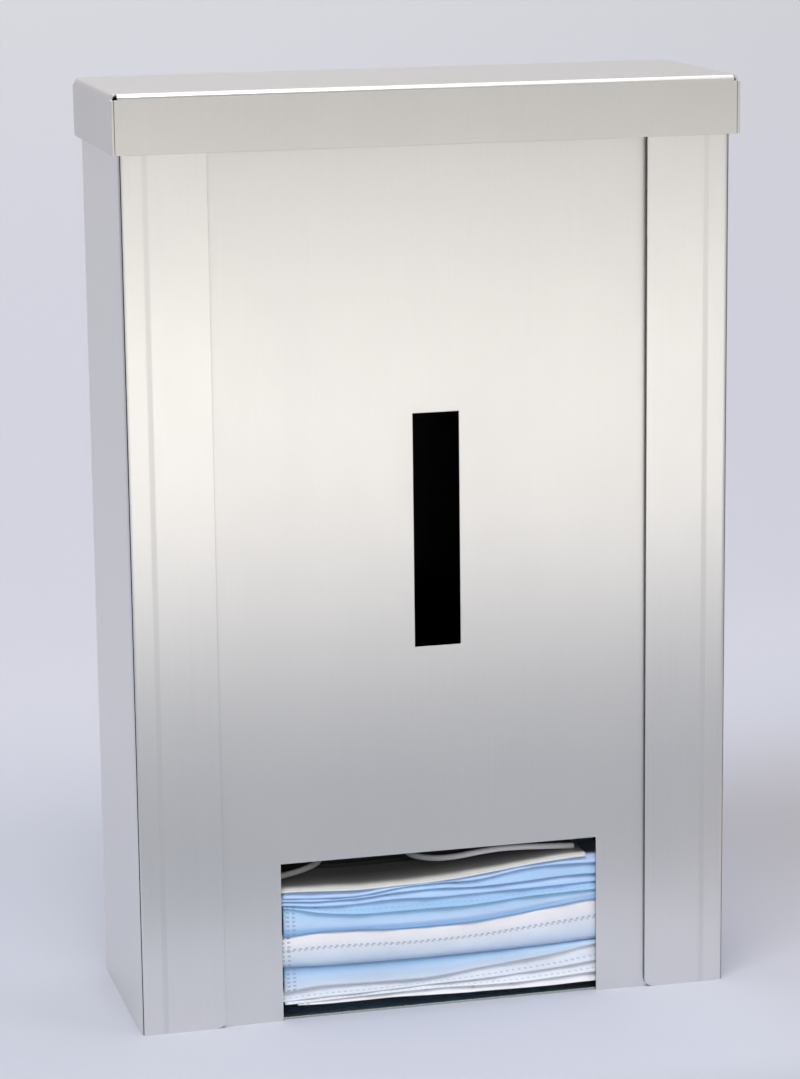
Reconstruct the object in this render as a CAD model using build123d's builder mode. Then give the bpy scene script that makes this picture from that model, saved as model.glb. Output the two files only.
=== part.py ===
"""Wall-mounted face mask dispenser in folded stainless sheet, with a hinged lid and a stack of pleated masks.

Millimetres, +X to the right, the front faces -Y, +Z up.
The origin is at the centre of the bounding box, on the surface that the case stands on.
"""

from build123d import *

import os
from math import radians, sin, tan

os.makedirs("parts", exist_ok=True)

# Case
case_width = 300.0
case_depth = 105.0
overall_height = 458.5
sheet = 1.2
fold_radius = 3.0
return_width = 42.0
return_corner_radius = 4.5
wall_hole_radius = 3.25
wall_hole_spacing_x = 200.0
wall_hole_foot_margin = 110.0
wall_hole_top_margin = 68.5

# Front panel, which stands behind the two return flanges and leans back slightly
panel_width = 254.0
panel_shift_x = 2.0
panel_foot_gap = 0.6
panel_lean = 0.25
panel_top_gap = 3.0
panel_top_return = 10.0
opening_width = 161.6
opening_height = 80.6
slot_width = 23.2
slot_height = 115.6
slot_foot = 185.0

# Floor tray
tray_flange = 14.0
tray_fit = 0.2

# Lid
lid_side_overhang = 3.2
lid_front_overhang = 4.0
lid_drop = 28.5
lid_rest_gap = 0.2
lid_seam = 0.2
lid_rear_corner_radius = 2.6

# Continuous hinge inside the rear top edge
hinge_length = 288.0
hinge_leaf = 0.9
hinge_leaf_width = 18.0
hinge_pin_radius = 1.2
hinge_pin_clearance = 0.05
hinge_knuckles = 15
hinge_knuckle_gap = 0.3
hinge_notch_gap = 0.35
hinge_edge_gap = 1.25
hinge_roll_slit = 0.25

# Pleated masks
mask_count = 15
mask_length = 175.0
mask_depth = 95.0
mask_web = 0.5
mask_fold_pitch = 1.5
mask_fold_radius = 0.7
mask_pleat_width = 12.0
mask_pleats = 3
mask_pleat_pitch = 16.0
mask_first_pleat = 22.0
mask_pleat_step = 0.1
mask_seat_gap = 0.3
mask_lip_height = 3.2
mask_lip_heights = {2: 2.4, 3: 3.4, 5: 12.2, 9: 15.6, 10: 5.7}
mask_lip_drops = {1: 2.4, 2: 4.2, 3: 4.5, 9: 2.6}
mask_set_backs = {4: 3.0, 6: 3.0, 7: 3.0, 8: 3.0}
mask_lip_depth = 1.5
mask_lip_radius = 2.4
mask_front_level = 9.0
mask_panel_gap = 1.6
stack_left = -79.0
top_mask_shift = 18.0
stack_pitch_left = 3.85
stack_pitch_right = 4.37

# Ear loops
ear_loop_diameter = 3.0

# Places that follow from the sizes above
lid_front_y = -(case_depth + lid_front_overhang) / 2
case_front_y = lid_front_y + lid_front_overhang
case_back_y = case_front_y + case_depth
back_inside_y = case_back_y - sheet
shell_top = overall_height - sheet - lid_rest_gap
lid_underside = overall_height - sheet
panel_front_y = case_front_y + sheet + panel_foot_gap
inside_half_width = case_width / 2 - sheet
lid_half_width = case_width / 2 + lid_side_overhang
wall_hole_spacing_z = overall_height - wall_hole_foot_margin - wall_hole_top_margin
wall_hole_centre_z = wall_hole_foot_margin + wall_hole_spacing_z / 2

hinge_bore_radius = hinge_pin_radius + hinge_pin_clearance
hinge_roll_radius = hinge_bore_radius + hinge_leaf
hinge_y = back_inside_y - hinge_roll_radius
hinge_z = lid_underside - hinge_roll_radius
back_panel_top = hinge_z - hinge_edge_gap
lid_plate_end_y = hinge_y - hinge_edge_gap


def finish(part, name):
    """Names a finished piece and writes it."""
    part.label = name
    export_step(part, f"parts/{name}.step")


# Shell: back, two sides and two front return flanges folded from one sheet
with BuildPart() as shell:
    with BuildSketch():
        with BuildLine():
            outside = FilletPolyline(
                (case_width / 2 - return_width, case_front_y),
                (case_width / 2, case_front_y),
                (case_width / 2, case_back_y),
                (-case_width / 2, case_back_y),
                (-case_width / 2, case_front_y),
                (-case_width / 2 + return_width, case_front_y),
                radius=fold_radius,
            )
            offset(outside, amount=sheet, side=Side.LEFT)
        make_face()
    extrude(amount=shell_top)
    # The back stops below the lid's hinge knuckles
    with BuildSketch(Plane.XY.offset(back_panel_top)):
        with Locations((0, case_back_y)):
            Rectangle(case_width, 2 * fold_radius)
    extrude(amount=shell_top - back_panel_top, mode=Mode.SUBTRACT)
    # Four screw holes for the wall
    with BuildSketch(Plane.XZ.offset(-case_back_y)):
        with Locations((0, wall_hole_centre_z)):
            with GridLocations(wall_hole_spacing_x, wall_hole_spacing_z, 2, 2):
                Circle(wall_hole_radius)
    extrude(amount=2 * sheet, mode=Mode.SUBTRACT)
    # The return flanges have rounded inner corners at the foot
    foot_corners = shell.edges().filter_by(Axis.Y).filter_by_position(
        Axis.X, return_width - case_width / 2 - 0.1, case_width / 2 - return_width + 0.1
    ).group_by(Axis.Z)[0].group_by(Axis.Y)[0]
    fillet(foot_corners, radius=return_corner_radius)

finish(shell.part, "shell")


# Front panel: one sheet with the level slot, the dispensing opening and a return along its top
panel_height = shell_top - panel_top_gap
lean = radians(panel_lean)
panel_section = Plane(
    origin=(panel_shift_x - panel_width / 2, panel_front_y, sheet * sin(lean)),
    x_dir=(0, 1, -tan(lean)),
    z_dir=(1, 0, 0),
)
panel_face = Plane(
    origin=(panel_shift_x, panel_front_y, 0),
    x_dir=(1, 0, 0),
    z_dir=(0, -1, tan(lean)),
)
with BuildPart() as front_panel:
    with BuildSketch(panel_section):
        with BuildLine():
            outside = FilletPolyline(
                (0, 0),
                (0, panel_height),
                (panel_top_return, panel_height),
                radius=fold_radius,
            )
            offset(outside, amount=sheet, side=Side.RIGHT)
        make_face()
    extrude(amount=panel_width)
    with BuildSketch(panel_face):
        with Locations((0, opening_height / 2)):
            Rectangle(opening_width, opening_height)
        with Locations((0, slot_foot + slot_height / 2)):
            Rectangle(slot_width, slot_height)
    extrude(amount=2 * sheet, both=True, mode=Mode.SUBTRACT)

finish(front_panel.part, "front_panel")


# Floor: a tray with flanges turned up against the sides and the back
tray_half_width = inside_half_width - tray_fit
tray_front_y = panel_front_y + sheet + tray_fit
tray_back_y = back_inside_y - tray_fit
tray_side_end_y = tray_back_y - fold_radius
with BuildPart() as floor_plate:
    with BuildSketch(Plane.XZ.offset(-tray_front_y)):
        with BuildLine():
            outside = FilletPolyline(
                (-tray_half_width, tray_flange),
                (-tray_half_width, 0),
                (tray_half_width, 0),
                (tray_half_width, tray_flange),
                radius=fold_radius,
            )
            offset(outside, amount=sheet, side=Side.LEFT)
        make_face()
    extrude(amount=-(tray_side_end_y - tray_front_y))
    rear_half_width = tray_half_width - fold_radius
    with BuildSketch(Plane.YZ.offset(-rear_half_width)):
        with BuildLine():
            outside = FilletPolyline(
                (tray_side_end_y, 0),
                (tray_back_y, 0),
                (tray_back_y, tray_flange),
                radius=fold_radius - 0.01,
            )
            offset(outside, amount=sheet, side=Side.LEFT)
        make_face()
    extrude(amount=2 * rear_half_width)

finish(floor_plate.part, "floor_plate")


# Lid: top, front flange and two side flanges folded from one sheet, with open corner seams
lid_foot = overall_height - lid_drop
lid_fold_foot = overall_height - fold_radius
with BuildPart() as lid:
    # Top and sides behind the front fold
    with BuildSketch(Plane.XZ.offset(-(lid_front_y + fold_radius))):
        with BuildLine():
            outside = FilletPolyline(
                (-lid_half_width, lid_foot),
                (-lid_half_width, overall_height),
                (lid_half_width, overall_height),
                (lid_half_width, lid_foot),
                radius=fold_radius,
            )
            offset(outside, amount=sheet, side=Side.RIGHT)
        make_face()
    extrude(amount=-(lid_plate_end_y - lid_front_y - fold_radius))
    # The flat of each side flange runs on to the front corner and to the wall
    with BuildSketch(Plane.XY.offset(lid_foot)):
        with Locations(
            (lid_half_width - sheet / 2, (lid_front_y + case_back_y) / 2),
            (-lid_half_width + sheet / 2, (lid_front_y + case_back_y) / 2),
        ):
            Rectangle(sheet, case_back_y - lid_front_y)
    extrude(amount=lid_drop - fold_radius)
    # Front flange between the side flanges
    flange_half_width = lid_half_width - sheet - lid_seam
    with BuildSketch(Plane.XY.offset(lid_foot)):
        with Locations((0, lid_front_y + sheet / 2)):
            Rectangle(2 * flange_half_width, sheet)
    extrude(amount=lid_drop - fold_radius)
    # Front fold, which stops short of the side folds
    fold_half_width = lid_half_width - fold_radius
    with BuildSketch(Plane.YZ.offset(-fold_half_width)):
        with Locations((lid_front_y + fold_radius, lid_fold_foot)):
            Circle(fold_radius)
            Circle(fold_radius - sheet, mode=Mode.SUBTRACT)
        with Locations((lid_front_y, overall_height)):
            Rectangle(2 * fold_radius, 2 * fold_radius, mode=Mode.INTERSECT)
    extrude(amount=2 * fold_half_width)
    # The side flanges' rear corners are rounded, so that they pass the wall as the lid opens
    rear_corners = lid.edges().filter_by(Axis.X).filter_by_position(
        Axis.Y, case_back_y - 0.1, case_back_y + 0.1
    )
    fillet(rear_corners, radius=lid_rear_corner_radius)

finish(lid.part, "lid")


# Hinge: two leaves with rolled knuckles on one pin
knuckle_pitch = hinge_length / hinge_knuckles
knuckle_centres = [
    -hinge_length / 2 + (number + 0.5) * knuckle_pitch for number in range(hinge_knuckles)
]
case_knuckles = knuckle_centres[0::2]
lid_knuckles = knuckle_centres[1::2]
notch_length = knuckle_pitch + hinge_knuckle_gap
notch_reach = hinge_roll_radius + hinge_notch_gap
leaf_offset = hinge_roll_radius - hinge_leaf / 2
hinge_section = Plane.YZ.offset(-hinge_length / 2)

with BuildPart() as case_hinge_leaf:
    with BuildSketch(hinge_section):
        with Locations((hinge_y, hinge_z)):
            Circle(hinge_roll_radius)
        with Locations((hinge_y + leaf_offset, hinge_z - hinge_leaf_width / 2)):
            Rectangle(hinge_leaf, hinge_leaf_width)
        with Locations((hinge_y, hinge_z)):
            Circle(hinge_bore_radius, mode=Mode.SUBTRACT)
        with Locations((hinge_y + hinge_bore_radius - hinge_roll_slit / 2, hinge_z - hinge_roll_radius)):
            Rectangle(hinge_roll_slit, 2 * hinge_roll_radius, mode=Mode.SUBTRACT)
    extrude(amount=hinge_length)
    with BuildSketch(Plane.XY.offset(hinge_z - notch_reach)):
        with Locations(*[(x, hinge_y) for x in lid_knuckles]):
            Rectangle(notch_length, 4 * hinge_roll_radius)
    extrude(amount=2 * notch_reach, mode=Mode.SUBTRACT)

finish(case_hinge_leaf.part, "case_hinge_leaf")

with BuildPart() as lid_hinge_leaf:
    with BuildSketch(hinge_section):
        with Locations((hinge_y, hinge_z)):
            Circle(hinge_roll_radius)
        with Locations((hinge_y - hinge_leaf_width / 2, hinge_z + leaf_offset)):
            Rectangle(hinge_leaf_width, hinge_leaf)
        with Locations((hinge_y, hinge_z)):
            Circle(hinge_bore_radius, mode=Mode.SUBTRACT)
        with Locations((hinge_y - hinge_roll_radius, hinge_z + hinge_bore_radius - hinge_roll_slit / 2)):
            Rectangle(2 * hinge_roll_radius, hinge_roll_slit, mode=Mode.SUBTRACT)
    extrude(amount=hinge_length)
    with BuildSketch(Plane.XY.offset(hinge_z - 2 * hinge_roll_radius)):
        with Locations(*[(x, hinge_y) for x in case_knuckles]):
            Rectangle(notch_length, 2 * notch_reach)
    extrude(amount=4 * hinge_roll_radius, mode=Mode.SUBTRACT)

finish(lid_hinge_leaf.part, "lid_hinge_leaf")

with BuildPart() as hinge_pin:
    with BuildSketch(hinge_section):
        with Locations((hinge_y, hinge_z)):
            Circle(hinge_pin_radius)
    extrude(amount=hinge_length)

finish(hinge_pin.part, "hinge_pin")


# Masks: each is one folded web, with three pleats and a drooping front edge.
# A few masks hang down further in front, over the edges of the masks below them.
stack_front_y = panel_front_y + sheet + mask_panel_gap
stack_foot = sheet + mask_seat_gap + mask_web
fan = (stack_pitch_right - stack_pitch_left) / opening_width


def pleated_route(front_level, lip_height, set_back):
    """The web's upper face in one mask, as (distance from the front edge, height), front to back."""
    pleat_drop = 2 * mask_fold_pitch
    top = (mask_pleats * pleat_drop) - (mask_pleats - 1) * mask_pleat_step
    route = [
        (set_back, front_level - lip_height),
        (set_back + mask_lip_depth, front_level),
        (mask_first_pleat, top),
    ]
    for number in range(mask_pleats):
        start = mask_first_pleat + number * mask_pleat_pitch
        end = start + mask_pleat_width
        route += [
            (end, top),
            (end, top - mask_fold_pitch),
            (start, top - mask_fold_pitch),
            (start, top - pleat_drop),
        ]
        top += mask_pleat_step - pleat_drop
    route.append((mask_depth, 0))
    return route


def make_mask(number):
    """One mask of the stack, counted from the floor, as a solid of its own."""
    sideways = 1.5 * sin(2.1 * number)
    forwards = 0.9 * sin(3.7 * number)
    if number < 2:
        sideways += 7.0 - 3.0 * number
    if number == mask_count - 1:
        sideways = -top_mask_shift
    rise = stack_pitch_left + fan * sideways
    section = Plane(
        origin=(stack_left + sideways, stack_front_y + forwards, stack_foot + number * rise),
        x_dir=(0, 1, 0),
        z_dir=(1, 0, 0),
    )
    route = pleated_route(
        mask_front_level - mask_lip_drops.get(number + 1, 0),
        mask_lip_heights.get(number + 1, mask_lip_height),
        mask_set_backs.get(number + 1, 0),
    )
    radii = [mask_lip_radius] * 2 + [mask_fold_radius] * (len(route) - 4)
    with BuildPart() as mask:
        with BuildSketch(section):
            with BuildLine():
                web = FilletPolyline(*route, radius=radii)
                offset(web, amount=mask_web, side=Side.RIGHT)
            make_face()
        extrude(amount=mask_length, dir=(1, 0, number * fan))
    finish(mask.part, f"mask_{number + 1:02d}")


for number in range(mask_count):
    make_mask(number)


# Ear loops of the top mask, each a limp cord from one end seam back to it
def corner_radii(route):
    """The largest arc that each corner of a cord's route has room for."""
    radii = []
    for before, corner, after in zip(route, route[1:], route[2:]):
        run_in = Vector(*corner) - Vector(*before)
        run_out = Vector(*after) - Vector(*corner)
        half_turn = radians(run_in.get_angle(run_out)) / 2
        radii.append(0.45 * min(run_in.length, run_out.length) / tan(half_turn))
    return radii


def make_ear_loop(name, route):
    """A round cord along straight runs that are joined by tangent arcs."""
    radii = corner_radii(route)
    with BuildPart() as loop:
        with BuildLine():
            path = FilletPolyline(*route, radius=radii)
        with BuildSketch(Plane(origin=path @ 0, z_dir=path % 0)):
            Circle(ear_loop_diameter / 2)
        sweep(path=path)
    finish(loop.part, name)
    section = 3.14159 * ear_loop_diameter**2 / 4
    print(name, "length", round(path.length, 1), "volume / section", round(loop.part.volume / section, 1))
    print(name, "radii", [round(radius, 1) for radius in radii])


right_loop_route = [
    (74, -37.5, 73.7),
    (62, -39, 74.9),
    (49, -39, 75.8),
    (36, -38.5, 76.0),
    (24, -37, 74.5),
    (13, -34.5, 72.2),
    (2, -29, 70.6),
    (-7, -19, 70.6),
    (-5, -7, 70.6),
    (5, 3, 69.4),
    (20, 9, 67.5),
    (36, 14, 67.2),
    (52, 20, 67.8),
    (66, 28, 65.0),
    (75, 38, 64.9),
]
left_loop_route = [
    (-92, -30, 66.2),
    (-78, -27, 67.0),
    (-64, -22, 67.7),
    (-53, -14, 68.2),
    (-48, -3, 67.9),
    (-52, 9, 65.1),
    (-62, 18, 63.0),
    (-76, 25, 60.4),
    (-90, 33, 57.6),
]
make_ear_loop("ear_loop_right", right_loop_route)
make_ear_loop("ear_loop_left", left_loop_route)
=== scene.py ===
"""Looks of a stainless face mask dispenser: brushed sheet, a hinged lid and a fanned stack of masks."""

from math import cos, hypot, pi, sin

import bmesh
import bpy
from mathutils import Matrix, Vector


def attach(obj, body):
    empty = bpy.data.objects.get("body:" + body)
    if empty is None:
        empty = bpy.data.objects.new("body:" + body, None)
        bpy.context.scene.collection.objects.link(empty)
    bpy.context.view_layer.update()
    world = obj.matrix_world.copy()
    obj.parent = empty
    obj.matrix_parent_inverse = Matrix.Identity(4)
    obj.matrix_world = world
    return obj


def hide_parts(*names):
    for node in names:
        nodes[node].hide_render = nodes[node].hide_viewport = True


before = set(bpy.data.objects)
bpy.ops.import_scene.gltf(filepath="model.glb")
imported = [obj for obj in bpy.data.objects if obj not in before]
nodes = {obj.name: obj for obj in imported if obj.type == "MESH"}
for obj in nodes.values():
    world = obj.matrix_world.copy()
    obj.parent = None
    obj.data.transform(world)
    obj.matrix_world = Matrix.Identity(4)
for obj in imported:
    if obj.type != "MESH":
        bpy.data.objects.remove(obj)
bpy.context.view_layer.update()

MM = 0.001

# The box whose faces are the inner side of the case, in metres
INSIDE_HALF_WIDTH = 149.2 * MM
INSIDE_BACK = 53.8 * MM
INSIDE_TOP = 457.8 * MM
SHELL_INSIDE_FRONT = -49.9 * MM
PANEL_INSIDE_FRONT = -48.1 * MM
LID_INSIDE_FRONT = -52.0 * MM
PANEL_LEAN = 0.00436
# The near-black colour painted on the case's inner faces, as the shade inside it
INSIDE_SHADE_COLOR = (0.06, 0.06, 0.06)

# The die marks of the return flanges
MARK_X = 137.8 * MM
MARK_FRONT = -45.0 * MM

# The brushed grain: its scale along its own direction, and how much it stretches reflections across it
GRAIN_STRETCH = 0.004
ANISOTROPY = 0.6

# A face whose normal is steeper than this counts as level
LEVEL_FACE = 0.75


def new_material(name):
    material = bpy.data.materials.new(name)
    material.use_nodes = True
    tree = material.node_tree
    tree.nodes.clear()
    output = tree.nodes.new("ShaderNodeOutputMaterial")
    shader = tree.nodes.new("ShaderNodeBsdfPrincipled")
    tree.links.new(shader.outputs[0], output.inputs[0])
    return material, tree, shader


def put(socket, value, tree):
    """Links a socket or sets a plain value."""
    if hasattr(value, "is_output"):
        tree.links.new(value, socket)
    else:
        socket.default_value = value


def math_node(tree, operation, a, b=0.0, c=0.0):
    node = tree.nodes.new("ShaderNodeMath")
    node.operation = operation
    put(node.inputs[0], a, tree)
    put(node.inputs[1], b, tree)
    put(node.inputs[2], c, tree)
    return node.outputs[0]


def varied(tree, value, amount, base):
    """base, with value's ups and downs about a half added to it by amount."""
    return math_node(tree, "MULTIPLY_ADD", math_node(tree, "SUBTRACT", value, 0.5), amount, base)


def product(tree, *factors):
    """All the factors multiplied."""
    result = factors[0]
    for factor in factors[1:]:
        result = math_node(tree, "MULTIPLY", result, factor)
    return result


def band(tree, value, centre, half, soft):
    """1 within half of centre, falling to 0 over soft."""
    distance = math_node(tree, "ABSOLUTE", math_node(tree, "SUBTRACT", value, centre))
    return map_range(tree, distance, half, half + soft, 1.0, 0.0)


def map_range(tree, value, start, end, start_value=0.0, end_value=1.0):
    """start_value at start, smoothly over to end_value at end."""
    node = tree.nodes.new("ShaderNodeMapRange")
    node.interpolation_type = "SMOOTHSTEP"
    put(node.inputs["Value"], value, tree)
    node.inputs["From Min"].default_value = start
    node.inputs["From Max"].default_value = end
    node.inputs["To Min"].default_value = start_value
    node.inputs["To Max"].default_value = end_value
    return node.outputs[0]


def mix_color(tree, factor, a, b, blend="MIX"):
    node = tree.nodes.new("ShaderNodeMix")
    node.data_type = "RGBA"
    node.blend_type = blend
    put(node.inputs[0], factor, tree)
    put(node.inputs[6], a, tree)
    put(node.inputs[7], b, tree)
    return node.outputs[2]


def mix_vector(tree, factor, a, b):
    node = tree.nodes.new("ShaderNodeMix")
    node.data_type = "VECTOR"
    put(node.inputs[0], factor, tree)
    put(node.inputs[4], a, tree)
    put(node.inputs[5], b, tree)
    return node.outputs[1]


def noise(tree, vector, scale, detail, roughness):
    node = tree.nodes.new("ShaderNodeTexNoise")
    put(node.inputs["Vector"], vector, tree)
    node.inputs["Scale"].default_value = scale
    node.inputs["Detail"].default_value = detail
    node.inputs["Roughness"].default_value = roughness
    return node.outputs[0]


def scaled(tree, vector, scale):
    node = tree.nodes.new("ShaderNodeVectorMath")
    node.operation = "MULTIPLY"
    put(node.inputs[0], vector, tree)
    node.inputs[1].default_value = scale
    return node.outputs[0]


def bump(tree, height, strength, distance, normal=None):
    """The normal with a height's relief added to it."""
    node = tree.nodes.new("ShaderNodeBump")
    node.inputs["Strength"].default_value = strength
    node.inputs["Distance"].default_value = distance
    put(node.inputs["Height"], height, tree)
    if normal is not None:
        put(node.inputs["Normal"], normal, tree)
    return node.outputs[0]


def position(tree):
    node = tree.nodes.new("ShaderNodeTexCoord")
    return node.outputs["Object"]


def xyz(tree, vector):
    node = tree.nodes.new("ShaderNodeSeparateXYZ")
    put(node.inputs[0], vector, tree)
    return node.outputs


def rgb(r, g, b):
    return (r, g, b, 1.0)


def shaded(tree, color, value):
    """The colour times a plain value."""
    gray = tree.nodes.new("ShaderNodeCombineColor")
    for socket in gray.inputs[:3]:
        put(socket, value, tree)
    return mix_color(tree, 1.0, color, gray.outputs[0], "MULTIPLY")


def brushed_sheet(
    name, color, roughness, top_color=None, grain_top="y", bevel=0.0004, marks=False, inside=None, lean=0.0
):
    """Brushed stainless sheet. The grain runs up the walls, and along Y or X on level faces.

    inside is the y, at the foot, behind which the faces within the case are painted near-black as their
    shade and made a little glossier, and lean is how much it grows with height.
    """
    material, tree, shader = new_material(name)
    place = position(tree)
    geometry = tree.nodes.new("ShaderNodeNewGeometry")
    true_normal = geometry.outputs["True Normal"]
    level = math_node(tree, "ABSOLUTE", xyz(tree, true_normal)[2])
    level = math_node(tree, "GREATER_THAN", level, LEVEL_FACE)
    wall_vector = scaled(tree, place, (1.0, 1.0, GRAIN_STRETCH))
    top_scale = (1.0, GRAIN_STRETCH, 1.0) if grain_top == "y" else (GRAIN_STRETCH, 1.0, 1.0)
    grain_vector = mix_vector(tree, level, wall_vector, scaled(tree, place, top_scale))
    fine = noise(tree, grain_vector, 5200.0, 3.0, 0.65)
    coarse = noise(tree, grain_vector, 900.0, 2.0, 0.5)
    cloud = noise(tree, place, 6.0, 2.0, 0.5)
    smear = noise(tree, scaled(tree, place, (1.0, 1.0, 0.5)), 22.0, 3.0, 0.6)

    grain = math_node(tree, "MULTIPLY_ADD", fine, 0.7, math_node(tree, "MULTIPLY", coarse, 0.3))
    shade = varied(tree, grain, 0.10, 1.0)
    shade = varied(tree, cloud, 0.06, shade)
    tint = rgb(*color)
    # Level faces may take another colour; on the lid the walls are painted darker than the top, as painted
    # shade
    if top_color is not None:
        tint = mix_color(tree, level, tint, rgb(*top_color))
    tint = shaded(tree, tint, shade)
    rough = varied(tree, grain, 0.12, roughness)
    rough = varied(tree, smear, 0.06, rough)

    place_x, place_y, place_z = xyz(tree, place)
    if marks:
        # Faint die marks of the press brake, one along each return flange
        mark = product(
            tree,
            band(tree, math_node(tree, "ABSOLUTE", place_x), MARK_X, 0.8 * MM, 1.0 * MM),
            math_node(tree, "LESS_THAN", place_y, MARK_FRONT),
        )
        tint = mix_color(tree, math_node(tree, "MULTIPLY", mark, 0.12), tint, rgb(0.36, 0.36, 0.38))
        rough = math_node(tree, "MULTIPLY_ADD", mark, 0.06, rough)
    # Painted shade: faces within the case are painted near-black, where little light reaches
    if inside is not None:
        forward = math_node(tree, "MULTIPLY_ADD", place_z, -lean, place_y)
        inside_shade = product(
            tree,
            math_node(tree, "LESS_THAN", math_node(tree, "ABSOLUTE", place_x), INSIDE_HALF_WIDTH),
            math_node(tree, "GREATER_THAN", forward, inside),
            math_node(tree, "LESS_THAN", place_y, INSIDE_BACK),
            math_node(tree, "LESS_THAN", place_z, INSIDE_TOP),
        )
        tint = mix_color(tree, inside_shade, tint, rgb(*INSIDE_SHADE_COLOR))
        rough = math_node(tree, "MULTIPLY_ADD", inside_shade, -0.10, rough)

    put(shader.inputs["Base Color"], tint, tree)
    shader.inputs["Metallic"].default_value = 1.0
    put(shader.inputs["Roughness"], rough, tree)
    shader.inputs["Anisotropic"].default_value = ANISOTROPY
    across = tree.nodes.new("ShaderNodeVectorMath")
    across.operation = "CROSS_PRODUCT"
    across.inputs[0].default_value = (0.0, 0.0, 1.0)
    put(across.inputs[1], true_normal, tree)
    level_across = (1.0, 0.0, 0.0) if grain_top == "y" else (0.0, 1.0, 0.0)
    put(shader.inputs["Tangent"], mix_vector(tree, level, across.outputs[0], level_across), tree)
    rounded = tree.nodes.new("ShaderNodeBevel")
    rounded.samples = 6
    rounded.inputs["Radius"].default_value = bevel
    first = bump(tree, grain, 0.06, 0.00004, rounded.outputs[0])
    second = bump(tree, cloud, 0.10, 0.0010, first)
    put(shader.inputs["Normal"], second, tree)
    return material


shell_steel = brushed_sheet("shell_steel", (0.83, 0.82, 0.80), 0.32, marks=True, inside=SHELL_INSIDE_FRONT)
panel_steel = brushed_sheet(
    "panel_steel", (0.82, 0.81, 0.79), 0.33, inside=PANEL_INSIDE_FRONT, lean=PANEL_LEAN
)
# The lid's walls are painted darker than its top, as painted shade
lid_steel_shaded_walls = brushed_sheet(
    "lid_steel_shaded_walls", (0.73, 0.72, 0.70), 0.32, top_color=(0.82, 0.81, 0.79), inside=LID_INSIDE_FRONT
)
# The floor plate's dim greenish grey is painted shade and a painted reflection of the masks above it
floor_steel_painted_shade = brushed_sheet("floor_steel_painted_shade", (0.50, 0.55, 0.53), 0.28, grain_top="x")
hinge_steel = brushed_sheet("hinge_leaf_steel", (0.50, 0.50, 0.49), 0.32, grain_top="x", bevel=0.0002)

for node, material in {
    "shell": shell_steel,
    "front_panel": panel_steel,
    "lid": lid_steel_shaded_walls,
    "floor_plate": floor_steel_painted_shade,
    "case_hinge_leaf": hinge_steel,
    "lid_hinge_leaf": hinge_steel,
    "hinge_pin": hinge_steel,
}.items():
    slots = nodes[node].data.materials
    if len(slots):
        for number in range(len(slots)):
            slots[number] = material
    else:
        slots.append(material)


# The stack of masks and their pleats, laid out as in the CAD source, in metres
PITCH_LEFT = 3.85 * MM
PITCH_RIGHT = 4.37 * MM
STACK_LEFT = -79.0 * MM
OPENING_WIDTH = 161.6 * MM
FAN = (PITCH_RIGHT - PITCH_LEFT) / OPENING_WIDTH
STACK_FOOT = 2.0 * MM
STACK_FRONT = -45.9 * MM
MASK_LENGTH = 175.0 * MM
FOLD_PITCH = 1.5 * MM
CLOTH = 0.36 * MM
FRONT_LEVEL = 9.0 * MM
PLEAT_LEVEL = 8.8 * MM
MASK_DEPTH = 95.0 * MM
PLEATS = 3
FIRST_PLEAT = 22.0 * MM
PLEAT_PITCH = 16.0 * MM
PLEAT_WIDTH = 12.0 * MM
PLEAT_STEP = 0.1 * MM
MASK_COUNT = 15
SHORTEST_MASK = MASK_LENGTH - 5 * MM

# The front lips of the masks
LIP_FORWARD = 0.9 * MM
LIP_SHIFTS = {3: 0.35 * MM, 5: 0.35 * MM, 9: -0.35 * MM}
LIP_ROUND = 1.5 * MM
LIP_LEAN = 1.35 * MM
LOW_LIP = 4 * MM
HIDDEN_SET_BACK = 3.2 * MM
HIDDEN_LIP = 2.6 * MM
LIP_SHARE = 0.9

# How uneven the cloth is at the lip's top, foot and front and over the web, and how its welded ends droop
TOP_WAVE = 0.14 * MM
FOOT_WAVE = 0.16 * MM
FRONT_WAVE = 0.28 * MM
WEB_WAVE = 0.05 * MM
END_DROOP = 0.35 * MM
END_REACH = 9 * MM

# The masks' meshes: columns of points, and the length of one unit of the UV map
MESH_COLUMNS = 96
UV_LENGTH = 0.1

# Heights in millimetres of the lines across the front of the stack, at these places across it, as measured
# on the photograph
ACROSS = [-78, -60, -40, -20, 0, 20, 45, 65, 84]
LINES = {
    "top": [66.7, 66.0, 65.0, 65.1, 65.7, 67.2, 69.7, 71.6, 72.2],
    "a": [62.2, 60.8, 60.4, 62.6, 63.4, 63.3, 66.6, 67.4, 66.9],
    "b": [60.9, 59.4, 59.0, 60.4, 60.6, 59.6, 60.3, 61.1, 61.2],
    "c": [58.6, 56.8, 56.2, 56.9, 56.2, 56.2, 56.5, 56.8, 57.0],
    "d": [57.2, 53.4, 51.0, 50.4, 50.4, 50.5, 51.9, 52.6, 52.9],
    "e": [44.8, 44.6, 43.9, 43.6, 43.4, 44.0, 45.9, 48.3, 49.8],
    "f": [41.9, 42.6, 42.2, 41.0, 40.6, 41.1, 43.3, 45.4, 47.5],
    "g": [26.7, 25.8, 25.2, 25.1, 25.0, 25.0, 25.6, 26.0, 26.7],
    "h": [13.5, 15.3, 14.6, 14.3, 14.6, 16.6, 19.1, 21.2, 23.9],
    "i": [9.0, 9.4, 9.8, 10.3, 10.8, 11.2, 12.1, 13.3, 15.2],
    "j": [7.6, 7.8, 8.2, 8.6, 8.6, 7.9, 7.7, 8.3, 9.3],
    "foot": [6.8, 6.3, 6.0, 6.0, 5.4, 4.7, 4.4, 4.4, 4.5],
}


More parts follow.
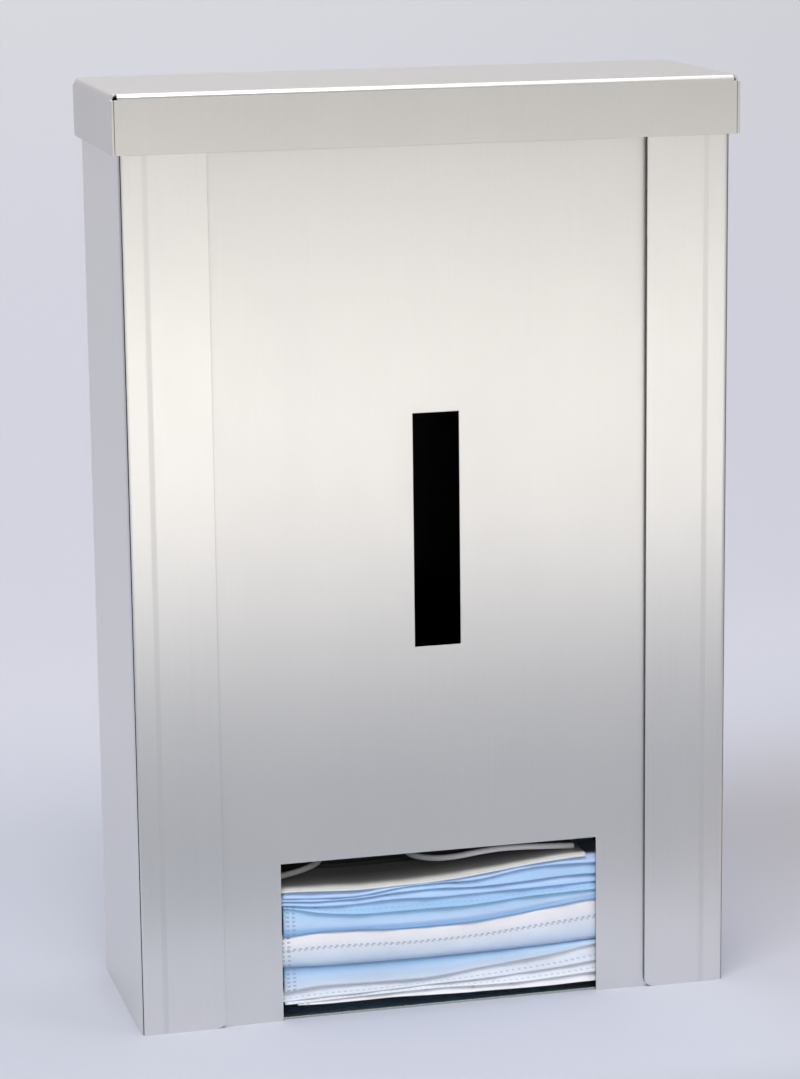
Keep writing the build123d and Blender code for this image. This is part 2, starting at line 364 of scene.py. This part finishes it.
def line(name, x):
    """Height of a line at x, smooth between its points, in metres."""
    values = LINES[name]
    x = x / MM
    if x <= ACROSS[0]:
        return values[0] * MM
    if x >= ACROSS[-1]:
        return values[-1] * MM
    number = max(i for i in range(len(ACROSS) - 1) if ACROSS[i] <= x)
    x0, x1 = ACROSS[number], ACROSS[number + 1]
    t = (x - x0) / (x1 - x0)
    before = values[max(number - 1, 0)]
    after = values[min(number + 2, len(values) - 1)]
    p0, p1 = values[number], values[number + 1]
    m0, m1 = (p1 - before) / 2, (after - p0) / 2
    height = (2 * t**3 - 3 * t**2 + 1) * p0 + (t**3 - 2 * t**2 + t) * m0
    height += (-2 * t**3 + 3 * t**2) * p1 + (t**3 - t**2) * m1
    return height * MM


def wave(x, seed, size):
    """Small smooth unevenness along a cloth edge."""
    x = x / MM
    slow = 0.5 * sin(0.11 * x + 1.7 * seed)
    middle = 0.3 * sin(0.27 * x + 3.1 * seed)
    return size * (slow + middle + 0.2 * sin(0.61 * x + seed))


# For each mask: its line at the top and at the foot of its front lip, and what is added to each
LIPS = {
    15: ("top", 0.0, "top", -1.5),
    14: ("top", -1.5, "a", 0.0),
    13: ("a", 1.0, "b", 0.0),
    12: ("b", 1.0, "c", 0.0),
    11: ("c", 1.0, "d", 0.0),
    10: ("d", 1.0, "f", 0.3),
    9: ("f", 0.5, "g", 0.4),
    5: ("g", 1.4, "h", 0.0),
    3: ("h", 1.0, "i", 0.0),
    2: ("i", 0.9, "j", 0.0),
    1: ("j", 0.8, "foot", 0.0),
}
# Masks whose lips lie behind others: the masks below and above, and the share of the way up between them
HIDDEN = {4: (3, 5, 0.5), 6: (5, 9, 0.25), 7: (5, 9, 0.5), 8: (5, 9, 0.75)}
# Left ends of the masks that lie out of line, in millimetres
LEFT_ENDS = {1: -71.0, 2: -77.5, 10: -77.6, 15: -97.0}


def lip_top(number, x):
    """Height of the top of a mask's front lip at x."""
    if number in HIDDEN:
        low, high, share = HIDDEN[number]
        return (1 - share) * lip_top(low, x) + share * lip_top(high, x)
    name, added = LIPS[number][:2]
    return line(name, x) + added * MM


def lip_foot(number, x):
    """Height of the foot of a mask's front lip at x."""
    if number in HIDDEN:
        return lip_top(number, x) - HIDDEN_LIP
    name, added = LIPS[number][2:]
    return line(name, x) + added * MM


def cad_level(number, x):
    """Height at x from which the CAD's mask is measured."""
    return STACK_FOOT + (number - 1) * (PITCH_LEFT + FAN * (x - STACK_LEFT))


def sag(number, x):
    """How far the stack sags in its middle, so that the top mask lies level behind its front edge."""
    whole = cad_level(MASK_COUNT, x) + FRONT_LEVEL - line("top", x)
    return max(whole, 0.0) * (number - 1) / (MASK_COUNT - 1)


def smooth(t):
    """0 to 1 with a level start and end."""
    t = min(max(t, 0.0), 1.0)
    return t * t * (3 - 2 * t)


def fold_arc(y, upper, lower, side, steps=5):
    """Points round one fold of the web, from its upper layer to its lower one."""
    radius = (upper - lower) / 2
    middle = (upper + lower) / 2
    points = []
    for step in range(steps + 1):
        angle = pi / 2 - pi * step / steps
        points.append((y - side * radius + side * radius * cos(angle), middle + radius * sin(angle)))
    return points


def lip_rows(number, x):
    """The front lip at x from its foot over its rounded top, as (y, z, share up the lip)."""
    set_back = HIDDEN_SET_BACK if number in HIDDEN else 0.0
    top = lip_top(number, x) + wave(x, number, TOP_WAVE)
    foot = lip_foot(number, x) + wave(x, number + 5.3, FOOT_WAVE)
    front = STACK_FRONT + set_back - LIP_FORWARD + LIP_SHIFTS.get(number, 0.0)
    front += wave(x, number + 2.1, FRONT_WAVE)
    height = top - foot
    round_off = min(LIP_ROUND, 0.42 * height)
    lean = min(LIP_LEAN, 0.45 * height)
    steps = 4 if height < LOW_LIP else 10
    rows = []
    for step in range(steps + 1):
        share = step / steps
        z = foot + (height - round_off) * share
        y = front + lean * share
        if number == 9:
            # Crowned, with its cut edge curled forward
            y -= 0.5 * MM * sin(pi * share) - 0.9 * MM * smooth((0.12 - share) / 0.12)
        if number == 5:
            y -= 0.6 * MM * sin(pi * share)
        if number == 10:
            # Its lower ply lies a step behind the upper one
            y += 0.55 * MM * smooth((line("e", x) + 0.2 * MM - z) / (0.5 * MM))
        rows.append((y, z, share * LIP_SHARE))
    round_steps = 3
    for step in range(1, round_steps + 1):
        angle = pi / 2 * step / round_steps
        y = front + lean + round_off * (1 - cos(angle))
        z = top - round_off + round_off * sin(angle)
        rows.append((y, z, LIP_SHARE + (1 - LIP_SHARE) * step / round_steps))
    return rows


def pleat_rows(base):
    """The web from its first pleat to the back edge, as (y, z, share), above the height base."""
    rows = []
    level = base + PLEAT_LEVEL
    for pleat in range(PLEATS):
        start = STACK_FRONT + FIRST_PLEAT + PLEAT_PITCH * pleat
        end = start + PLEAT_WIDTH
        middle = level - FOLD_PITCH
        low = middle - FOLD_PITCH
        rows.append((end - 4 * MM, level, 3.0 + pleat))
        rows += [(y, z, 3.2 + pleat) for y, z in fold_arc(end, level, middle, 1)]
        rows.append((start + 6 * MM, middle, 3.5 + pleat))
        rows += [(y, z, 3.6 + pleat) for y, z in fold_arc(start, middle, low, -1)]
        rows.append((start + 5 * MM, low, 3.8 + pleat))
        level = low + PLEAT_STEP
    last = end
    back = STACK_FRONT + MASK_DEPTH
    back_steps = 5
    for step in range(1, back_steps + 1):
        rows.append((last + (back - last) * step / back_steps, low, 7.0 + step / back_steps))
    return rows


def mask_section(number, x):
    """The web's middle line at x from the front lip's foot to the back, as (y, z, share up the lip)."""
    rows = lip_rows(number, x)
    start_y, _, _ = rows[-1]
    top = lip_top(number, x) + wave(x, number, TOP_WAVE)
    base = cad_level(number, x) - CLOTH / 2 - sag(number, x)
    end_y = STACK_FRONT + FIRST_PLEAT - 2 * MM
    top_steps = 7
    for step in range(1, top_steps + 1):
        share = step / top_steps
        z = top + (base + PLEAT_LEVEL - top) * smooth(share)
        rows.append((start_y + (end_y - start_y) * share, z, 1.0 + share))
    return rows + pleat_rows(base)


def mask_ends(number):
    """The x of a mask's left and right ends."""
    sideways = 1.5 * MM * sin(2.1 * (number - 1))
    left = LEFT_ENDS[number] * MM if number in LEFT_ENDS else STACK_LEFT + sideways
    right = (left if number == MASK_COUNT else STACK_LEFT) + MASK_LENGTH
    if number in (1, 2, 10):
        right = max(right, left + SHORTEST_MASK)
    return left, right


def make_mask(number, material):
    """One mask as a folded sheet, with its left and right ends."""
    left, right = mask_ends(number)
    mesh = bmesh.new()
    uv = mesh.loops.layers.uv.new("UVMap")
    grid = []
    for column in range(MESH_COLUMNS + 1):
        x = left + (right - left) * column / MESH_COLUMNS
        # The welded ends of some masks droop by a hair
        end = min(x - left, right - x)
        droop = END_DROOP * (1 - smooth(end / END_REACH)) if number in (1, 9, 10) else 0.0
        grid.append([])
        for y, z, share in mask_section(number, x):
            if share > LIP_SHARE:
                z -= droop
            if share > 1.0:
                z += wave(x + y * 3, number * 1.3, WEB_WAVE)
            grid[-1].append((mesh.verts.new((x, y, z)), share))
    # A column whose lip is higher than at the left end has more rows, and its last ones stay unused
    for near, far in zip(grid, grid[1:]):
        for row in range(len(grid[0]) - 1):
            corners = (near[row], far[row], far[row + 1], near[row + 1])
            face = mesh.faces.new([vertex for vertex, _ in corners])
            face.smooth = True
            for loop, (vertex, share) in zip(face.loops, corners):
                loop[uv].uv = ((vertex.co.x - left) / UV_LENGTH, share)
    data = bpy.data.meshes.new(f"mask_cloth_{number:02d}")
    mesh.to_mesh(data)
    mesh.free()
    piece = bpy.data.objects.new(f"mask_cloth_{number:02d}", data)
    bpy.context.scene.collection.objects.link(piece)
    data.materials.append(material)
    thick = piece.modifiers.new("plies", "SOLIDIFY")
    thick.thickness = CLOTH
    thick.offset = 0.0
    return piece, left, right


# The welds in the cloth: lengths along a mask are in tenths of a metre, as in its UV map
WELD_COLOR = (0.33, 0.38, 0.50)
DASH_PITCH = 0.031
DOT_COLOR = (0.30, 0.35, 0.46)
DOT_COLUMNS = (0.022, 0.052)
DOTS_UP_THE_LIP = 7.0
WELD_DEPTH = -0.9


def mask_material(name, upper, middle, lower, inside, rows=(), end_dots=False, deep_shade=None):
    """Embossed non-woven cloth.

    upper, middle and lower are the lip's colours, inside and deep those of the web behind it; deep, if
    given, is painted shade that darkens the web further back. rows are the lip's lines of welded dashes,
    each a height, half a width, a strength and a shift along the mask.
    """
    material, tree, shader = new_material(name)
    uv = tree.nodes.new("ShaderNodeUVMap")
    uv.uv_map = "UVMap"
    along, share = xyz(tree, uv.outputs[0])[:2]
    place = position(tree)
    cloth = noise(tree, place, 900.0, 4.0, 0.7)
    wrinkle = noise(tree, scaled(tree, place, (0.35, 1.0, 1.0)), 150.0, 3.0, 0.55)
    patch = noise(tree, scaled(tree, place, (0.5, 1.0, 1.6)), 45.0, 2.0, 0.5)

    tint = mix_color(tree, map_range(tree, share, 0.02, 0.45), rgb(*lower), rgb(*middle))
    tint = mix_color(tree, map_range(tree, share, 0.42, 0.86), tint, rgb(*upper))
    tint = mix_color(tree, map_range(tree, share, 1.0, 1.3), tint, rgb(*inside))
    # Painted shade: the web darkens further back into the case
    if deep_shade is not None:
        tint = mix_color(tree, map_range(tree, share, 1.15, 2.3), tint, rgb(*deep_shade))
    shade = varied(tree, patch, 0.22, 1.0)
    shade = varied(tree, cloth, 0.14, shade)
    shade = varied(tree, wrinkle, 0.12, shade)
    tint = shaded(tree, tint, shade)
    height = math_node(tree, "MULTIPLY_ADD", wrinkle, 0.8, product(tree, cloth, 0.35))

    for centre, half, strength, shift in rows:
        slanted = math_node(tree, "MULTIPLY_ADD", share, 0.05, along)
        phase = math_node(tree, "FRACT", math_node(tree, "MULTIPLY_ADD", slanted, 1 / DASH_PITCH, shift))
        dash = band(tree, phase, 0.5, 0.20, 0.08)
        strip = band(tree, share, varied(tree, patch, 0.05, centre), half, 0.02)
        weld = product(tree, dash, strip, strength)
        tint = mix_color(tree, weld, tint, rgb(*WELD_COLOR))
        height = math_node(tree, "MULTIPLY_ADD", weld, WELD_DEPTH, height)
    if end_dots:
        for column in DOT_COLUMNS:
            strip = band(tree, along, column, 0.006, 0.004)
            phase = math_node(tree, "FRACT", product(tree, share, DOTS_UP_THE_LIP))
            on_lip = math_node(tree, "LESS_THAN", share, 1.0)
            weld = product(tree, strip, band(tree, phase, 0.5, 0.18, 0.10), on_lip, 0.65)
            tint = mix_color(tree, weld, tint, rgb(*DOT_COLOR))
            height = math_node(tree, "MULTIPLY_ADD", weld, WELD_DEPTH, height)

    put(shader.inputs["Base Color"], tint, tree)
    shader.inputs["Roughness"].default_value = 0.82
    shader.inputs["Sheen Weight"].default_value = 0.25
    shader.inputs["Sheen Roughness"].default_value = 0.5
    shader.inputs["Subsurface Weight"].default_value = 0.12
    shader.inputs["Subsurface Radius"].default_value = (0.0008, 0.0010, 0.0014)
    shader.inputs["Subsurface Scale"].default_value = 1.0
    put(shader.inputs["Normal"], bump(tree, height, 0.5, 0.0004), tree)
    return material


PALE = (0.76, 0.82, 0.91)
LAVENDER = (0.46, 0.64, 0.92)
SKY = (0.36, 0.61, 0.92)
DEEP = (0.24, 0.48, 0.85)
WHITE = (0.82, 0.82, 0.88)
INNER = (0.30, 0.50, 0.80)
PLAIN_LOOK = (SKY, LAVENDER, SKY, INNER)

# What mask_material is given for each mask that differs from the plain look
LOOKS = {
    # mask_15's greys are painted shade: its pale cloth greyed on the lip, darker over its web and near-black
    # further back in the case
    15: (
        (0.58, 0.58, 0.57), (0.66, 0.69, 0.72), (0.58, 0.64, 0.72), (0.30, 0.31, 0.30),
        (), False, (0.07, 0.07, 0.07),
    ),
    14: ((0.42, 0.58, 0.88), LAVENDER, (0.36, 0.55, 0.88), INNER),
    13: ((0.36, 0.55, 0.88), (0.42, 0.62, 0.92), (0.40, 0.60, 0.92), INNER),
    12: ((0.34, 0.54, 0.88), (0.46, 0.64, 0.93), (0.36, 0.58, 0.92), INNER),
    11: ((0.40, 0.60, 0.92), (0.36, 0.60, 0.93), SKY, INNER, ((0.35, 0.05, 0.28, 0.0),), True),
    10: ((0.40, 0.66, 0.94), (0.50, 0.66, 0.94), DEEP, INNER, (), True),
    9: (
        WHITE, (0.68, 0.75, 0.87), (0.50, 0.63, 0.84), INNER,
        ((0.560, 0.014, 0.75, 0.0), (0.515, 0.014, 0.60, 0.35)), True,
    ),
    # mask_05's navy lip top is painted shade of the crease under mask_09's white lip
    5: ((0.26, 0.46, 0.74), (0.50, 0.66, 0.88), (0.70, 0.78, 0.90), INNER, (), True),
    3: (PALE, (0.72, 0.80, 0.92), (0.74, 0.80, 0.90), INNER, ((0.30, 0.045, 0.45, 0.2),)),
    2: (PALE, (0.76, 0.82, 0.92), (0.78, 0.82, 0.90), INNER, ((0.35, 0.06, 0.40, 0.5),)),
    1: ((0.80, 0.84, 0.92), (0.84, 0.86, 0.92), (0.90, 0.88, 0.90), INNER, (), True),
}
for number in range(1, MASK_COUNT + 1):
    material = mask_material(f"mask_cloth_{number:02d}", *LOOKS.get(number, PLAIN_LOOK))
    piece, left, right = make_mask(number, material)
    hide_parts(f"mask_{number:02d}")
    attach(piece, "case")
    section = mask_section(number, 0.0)


def loop_material():
    """White knitted elastic."""
    material, tree, shader = new_material("ear_loop_elastic")
    place = position(tree)
    knit = noise(tree, place, 1500.0, 2.0, 0.6)
    ribs = noise(tree, place, 320.0, 1.0, 0.5)
    tint = shaded(tree, rgb(0.82, 0.82, 0.84), varied(tree, knit, 0.25, 0.98))
    put(shader.inputs["Base Color"], tint, tree)
    shader.inputs["Roughness"].default_value = 0.85
    shader.inputs["Sheen Weight"].default_value = 0.3
    height = math_node(tree, "MULTIPLY_ADD", ribs, 0.6, knit)
    put(shader.inputs["Normal"], bump(tree, height, 0.6, 0.0003), tree)
    return material


# The ear loops' routes in millimetres, and their lengths and thickness in metres
LOOP_ROUTES = {
    "ear_loop_right": [
        (74, -37.5, 73.7), (62, -39, 74.9), (49, -39, 75.8), (36, -38.5, 76.0), (24, -37, 74.5),
        (13, -34.5, 72.2), (2, -29, 70.6), (-7, -19, 70.6), (-5, -7, 70.6), (5, 3, 69.4),
        (20, 9, 67.5), (36, 14, 67.2), (52, 20, 67.8), (66, 28, 65.0), (75, 38, 64.9),
    ],
    "ear_loop_left": [
        (-92, -30, 66.2), (-78, -27, 67.0), (-64, -22, 67.7), (-53, -14, 68.2), (-48, -3, 67.9),
        (-52, 9, 65.1), (-62, 18, 63.0), (-76, 25, 60.4), (-90, 33, 57.6),
    ],
}
LOOP_DIAMETER = 3 * MM

elastic = loop_material()
for node, route in LOOP_ROUTES.items():
    curve = bpy.data.curves.new(f"{node}_elastic", "CURVE")
    curve.dimensions = "3D"
    curve.bevel_depth = LOOP_DIAMETER / 2
    curve.bevel_resolution = 5
    curve.resolution_u = 10
    curve.use_fill_caps = True
    spline = curve.splines.new("NURBS")
    spline.points.add(len(route) - 1)
    for point, (x, y, z) in zip(spline.points, route):
        point.co = (x * MM, y * MM, z * MM, 1.0)
    spline.order_u = 3
    spline.use_endpoint_u = True
    curve.materials.append(elastic)
    piece = bpy.data.objects.new(f"{node}_elastic", curve)
    bpy.context.scene.collection.objects.link(piece)
    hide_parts(node)
    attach(piece, "case")


# Colours of the stage: the floor, the backdrop, the painted shade on the floor near the object, the darker
# zone painted across the floor in front of it for the steel to reflect, the painted pool of light on the
# floor in front of that zone and the painted shadow on the floor at the object's right
FLOOR_COLOR = (0.59, 0.60, 0.68)
BACKDROP_COLOR = (0.72, 0.705, 0.705)
NEAR_SHADE_COLOR = (0.50, 0.52, 0.61)
DARK_ZONE_COLOR = (0.29, 0.31, 0.36)
LIGHT_POOL_COLOR = (0.92, 0.90, 0.87)
RIGHT_SHADOW_COLOR = (0.42, 0.39, 0.395)

# The stage's floor and its sweep up to the backdrop, in metres
STAGE_COLUMNS = (-4.0, -1.3, 1.3, 4.0)
FLOOR_ROWS = (-4.0, -1.5, 0.3, 0.8)
SWEEP_RADIUS = 1.2
SWEEP_STEPS = 12
BACKDROP_TOP = 5.0


def stage_material():
    """Pale floor and backdrop, with painted shade near the object and a painted shadow at its right, and,
    well in front of it for the steel to reflect, a darker bluish zone painted across the floor and a painted
    pool of light beyond it.
    """
    material, tree, shader = new_material("stage_paint")
    place = position(tree)
    cloud = noise(tree, place, 0.8, 2.0, 0.5)
    x, y, z = xyz(tree, place)
    rise = map_range(tree, z, 0.0, 0.9)
    tint = mix_color(tree, rise, rgb(*FLOOR_COLOR), rgb(*BACKDROP_COLOR))
    # Painted shade on the floor about the object's foot
    near = product(tree, band(tree, y, 0.0, 0.2, 0.5), map_range(tree, z, 0.25, 0.0))
    tint = mix_color(tree, near, tint, rgb(*NEAR_SHADE_COLOR))
    # A darker zone painted across the floor out of view, standing in for darker surroundings for the steel
    # to reflect
    dark_zone = band(tree, y, -0.53, 0.24, 0.14)
    tint = mix_color(tree, dark_zone, tint, rgb(*DARK_ZONE_COLOR))
    # A painted pool of light on the floor further in front, for the steel's upper front to reflect
    light_pool = map_range(tree, y, -0.85, -1.15)
    tint = mix_color(tree, light_pool, tint, rgb(*LIGHT_POOL_COLOR))
    # The object's shadow, painted on the floor at its right
    right = product(tree, map_range(tree, x, 0.10, 0.38), band(tree, y, 0.0, 0.15, 0.35), 0.8)
    tint = mix_color(tree, right, tint, rgb(*RIGHT_SHADOW_COLOR))
    put(shader.inputs["Base Color"], shaded(tree, tint, varied(tree, cloud, 0.03, 1.0)), tree)
    shader.inputs["Roughness"].default_value = 0.9
    # Clear from its back, so that the object can also be seen from behind the backdrop
    geometry = tree.nodes.new("ShaderNodeNewGeometry")
    clear = tree.nodes.new("ShaderNodeBsdfTransparent")
    sides = tree.nodes.new("ShaderNodeMixShader")
    output = next(node for node in tree.nodes if node.bl_idname == "ShaderNodeOutputMaterial")
    tree.links.new(geometry.outputs["Backfacing"], sides.inputs[0])
    tree.links.new(shader.outputs[0], sides.inputs[1])
    tree.links.new(clear.outputs[0], sides.inputs[2])
    tree.links.new(sides.outputs[0], output.inputs[0])
    return material


def make_stage():
    """A floor that sweeps up into a backdrop."""
    profile = [(y, 0.0) for y in FLOOR_ROWS]
    sweep_start = FLOOR_ROWS[-1]
    for step in range(1, SWEEP_STEPS + 1):
        angle = pi / 2 * step / SWEEP_STEPS
        profile.append((sweep_start + SWEEP_RADIUS * sin(angle), SWEEP_RADIUS - SWEEP_RADIUS * cos(angle)))
    profile.append((sweep_start + SWEEP_RADIUS, BACKDROP_TOP))
    mesh = bmesh.new()
    rows = []
    for y, z in profile:
        rows.append([mesh.verts.new((x, y, z)) for x in STAGE_COLUMNS])
    for low, high in zip(rows, rows[1:]):
        for column in range(len(STAGE_COLUMNS) - 1):
            face = mesh.faces.new((low[column], low[column + 1], high[column + 1], high[column]))
            face.smooth = True
    data = bpy.data.meshes.new("studio_sweep")
    mesh.to_mesh(data)
    mesh.free()
    piece = bpy.data.objects.new("studio_sweep", data)
    bpy.context.scene.collection.objects.link(piece)
    data.materials.append(stage_material())


make_stage()


def area_light(name, place, target, size, power, color):
    """A rectangular light at a place, turned to a target, with its size in metres and its power in watts."""
    light = bpy.data.lights.new(name, "AREA")
    light.shape = "RECTANGLE"
    light.size, light.size_y = size
    light.energy = power
    light.color = color
    lamp = bpy.data.objects.new(name, light)
    lamp.location = place
    lamp.rotation_euler = (Vector(target) - Vector(place)).to_track_quat("-Z", "Y").to_euler()
    bpy.context.scene.collection.objects.link(lamp)


area_light("soft_front", (-0.7, -1.4, 2.9), (0, 0, 0.25), (2.0, 0.9), 66, (1.0, 0.99, 0.96))
area_light("floor_light", (-0.2, -2.4, 0.75), (-0.2, -2.4, 0), (3.4, 1.6), 23, (1.0, 0.98, 0.95))
area_light("soft_right", (2.2, -1.6, 1.6), (0, 0, 0.25), (1.2, 1.2), 14, (1.0, 0.99, 0.96))
area_light("soft_top", (0.2, 0.4, 2.4), (0, 0.1, 0.2), (2.4, 1.8), 18, (0.98, 0.99, 1.0))

# Even pale light from all round
WORLD_COLOR = (0.87, 0.87, 0.89)
WORLD_STRENGTH = 0.42

world = bpy.data.worlds.new("studio")
bpy.context.scene.world = world
world.use_nodes = True
tree = world.node_tree
tree.nodes.clear()
output = tree.nodes.new("ShaderNodeOutputWorld")
background = tree.nodes.new("ShaderNodeBackground")
background.inputs[0].default_value = rgb(*WORLD_COLOR)
background.inputs[1].default_value = WORLD_STRENGTH
tree.links.new(background.outputs[0], output.inputs[0])

# The photograph's camera, solved from the corners of the case: its focal length and the photograph's longer
# side in pixels, its place in metres and its axes
FOCAL_PIXELS = 3466.9
LONGER_SIDE_PIXELS = 1079
SENSOR = 36.0
CAMERA_PLACE = Vector((-0.42287, -1.63802, 0.59084))
CAMERA_RIGHT = Vector((0.96823, -0.24982, -0.01096))
CAMERA_UP = Vector((0.06273, 0.20024, 0.97774))
CAMERA_FORWARD = Vector((0.24206, 0.94736, -0.20956))

camera_data = bpy.data.cameras.new("camera")
camera_data.sensor_fit = "AUTO"
camera_data.sensor_width = SENSOR
camera_data.lens = SENSOR * FOCAL_PIXELS / LONGER_SIDE_PIXELS
camera_data.clip_end = 30.0
camera = bpy.data.objects.new("camera", camera_data)
turn = Matrix((CAMERA_RIGHT, CAMERA_UP, -CAMERA_FORWARD)).transposed().to_4x4()
camera.matrix_world = Matrix.Translation(CAMERA_PLACE) @ turn
bpy.context.scene.collection.objects.link(camera)
bpy.context.scene.camera = camera

bpy.context.scene.view_settings.view_transform = "Standard"
